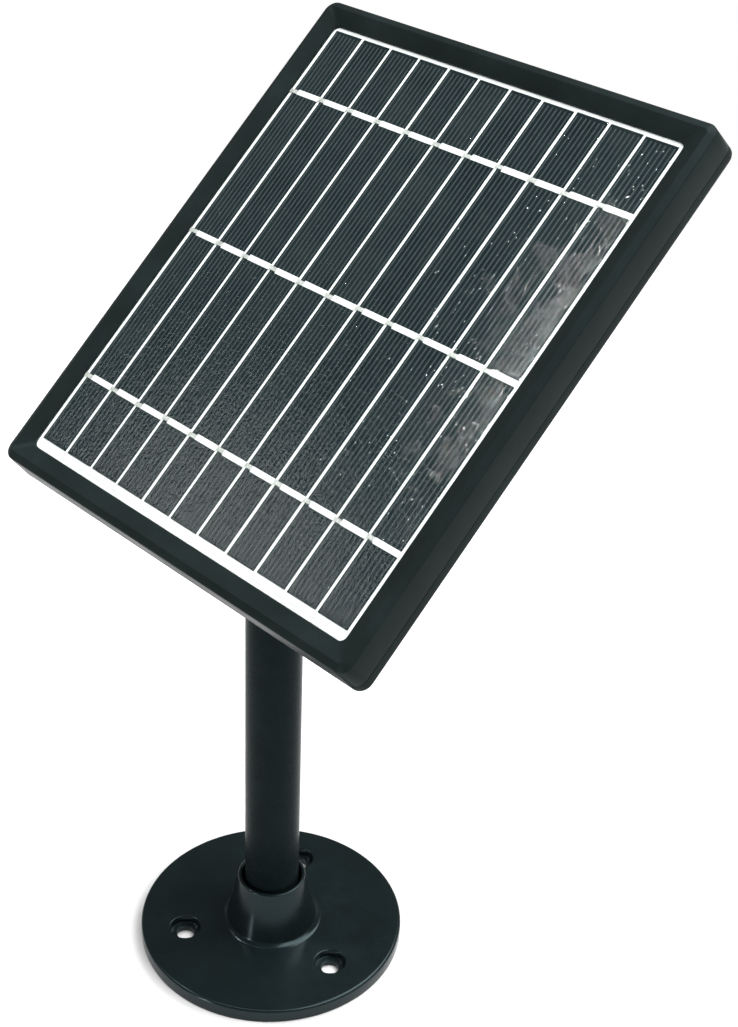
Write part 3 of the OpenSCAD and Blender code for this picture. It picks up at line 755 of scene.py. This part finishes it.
def make_floor():
    """Pale floor that catches shadows near the object, and gives way to the white world farther out
    and from below. Only the camera sees through it."""
    bm = bmesh.new()
    bmesh.ops.create_grid(bm, x_segments=8, y_segments=8, size=FLOOR_HALF)
    mesh = mesh_from(bm, "floor")
    floor = linked("floor", mesh)
    s = Shader("floor_white", Specular_IOR_Level=0.2, Roughness=0.7)
    s.paint(s.colours(s.noise(400, 2, 0.5), (0.3, (0.74, 0.74, 0.74)), (0.7, (0.76, 0.76, 0.76))))
    away = s.node("ShaderNodeVectorMath", operation="LENGTH")
    s.link(s.coords, away.inputs[0])
    fade = s.spread(away.outputs["Value"], 0, 1, FLOOR_FADE_FROM, FLOOR_FADE_TO, "SMOOTHSTEP")
    below = s.node("ShaderNodeNewGeometry").outputs["Backfacing"]
    by_camera = s.node("ShaderNodeLightPath").outputs["Is Camera Ray"]
    hidden = s.maths("MULTIPLY", s.maths("MAXIMUM", fade, below), by_camera)
    see_through = s.node("ShaderNodeBsdfTransparent").outputs[0]
    s.surface(s.mixed(hidden, s.main.outputs[0], see_through))
    mesh.materials.append(s.material)


def soft_light(name, place, width, height, power):
    """A rectangular lamp that the camera doesn't see. It faces straight down."""
    data = bpy.data.lights.new(name, "AREA")
    data.shape = "RECTANGLE"
    data.size, data.size_y = width, height
    data.energy = power
    lamp = linked(name, data)
    lamp.location = place
    lamp.visible_camera = False
    return lamp


def make_lights():
    """A wide lamp overhead, a strip low in front for the hub's highlight, and one for the film's glints."""
    soft_light("overhead", OVERHEAD_AT, OVERHEAD_SIZE, OVERHEAD_SIZE, OVERHEAD_WATTS)
    front = soft_light("front_strip", FRONT_AT, *FRONT_SIZE, FRONT_WATTS)
    front.rotation_mode = "QUATERNION"
    front.rotation_quaternion = (Vector(FRONT_TARGET) - Vector(FRONT_AT)).to_track_quat("-Z", "Y")
    glint = soft_light("strip", GLINT_AT, *GLINT_SIZE, GLINT_WATTS)
    glint.rotation_euler = (0, 0, math.radians(GLINT_TURN_DEG))


def make_world():
    """White to the camera. Other rays meet a dim sky with one soft glow, which the film reflects."""
    world = bpy.data.worlds.new("studio")
    bpy.context.scene.world = world
    world.use_nodes = True
    tree = world.node_tree
    seen = tree.nodes["Background"]
    seen.inputs["Color"].default_value = (1, 1, 1, 1)
    seen.inputs["Strength"].default_value = 1.0
    lit = tree.nodes.new("ShaderNodeBackground")
    lit.inputs["Color"].default_value = SKY_COLOUR
    path = tree.nodes.new("ShaderNodeLightPath")
    mix = tree.nodes.new("ShaderNodeMixShader")
    tree.links.new(path.outputs["Is Camera Ray"], mix.inputs[0])
    tree.links.new(lit.outputs[0], mix.inputs[1])
    tree.links.new(seen.outputs[0], mix.inputs[2])
    tree.links.new(mix.outputs[0], tree.nodes["World Output"].inputs["Surface"])
    toward = tree.nodes.new("ShaderNodeTexCoord")
    glow = tree.nodes.new("ShaderNodeVectorMath")
    glow.operation = "DOT_PRODUCT"
    glow.inputs[1].default_value = Vector(SKY_GLOW_TOWARD).normalized()
    tree.links.new(toward.outputs["Generated"], glow.inputs[0])
    fade = tree.nodes.new("ShaderNodeMapRange")
    fade.interpolation_type = "SMOOTHSTEP"
    fade.inputs["From Min"].default_value = math.cos(math.radians(SKY_GLOW_DEG))
    fade.inputs["From Max"].default_value = 1.0
    fade.inputs["To Min"].default_value = SKY_LOW
    fade.inputs["To Max"].default_value = SKY_HIGH
    tree.links.new(glow.outputs["Value"], fade.inputs["Value"])
    tree.links.new(fade.outputs["Result"], lit.inputs["Strength"])


def make_camera():
    """The camera stands at the front right, above the panel, rolled a little."""
    heading, pitch = math.radians(CAMERA_HEADING_DEG), math.radians(CAMERA_PITCH_DEG)
    roll = math.radians(CAMERA_ROLL_DEG)
    ahead = Vector((-math.sin(heading) * math.cos(pitch), math.cos(heading) * math.cos(pitch),
                    -math.sin(pitch)))
    right = Vector((math.cos(heading), math.sin(heading), 0))
    up = right.cross(ahead)
    tipped = right * math.cos(roll) + up * math.sin(roll)
    upright = up * math.cos(roll) - right * math.sin(roll)
    data = bpy.data.cameras.new("camera")
    data.sensor_fit = "VERTICAL"
    data.sensor_height = data.sensor_width = SENSOR_MM
    data.lens = LENS_MM
    data.clip_start = 0.01
    camera = linked("camera", data)
    turn = Matrix((tipped, upright, -ahead)).transposed().to_4x4()
    camera.matrix_world = Matrix.Translation(Vector(CAMERA_AT_MM) * MM) @ turn
    bpy.context.scene.camera = camera


# ---- making ----------------------------------------------------------------------------------

make_camera()
make_world()
make_floor()
make_lights()

make_base_plate()
make_pole()
make_front_frame()
make_rear_cover()
make_cells()
make_fingers()
make_ribbons()
make_film()
for node_name in sorted(nodes):
    if not nodes[node_name].hide_render:
        dress_node(node_name)

bpy.context.scene.view_settings.view_transform = "Standard"
bpy.context.scene.view_settings.look = "None"
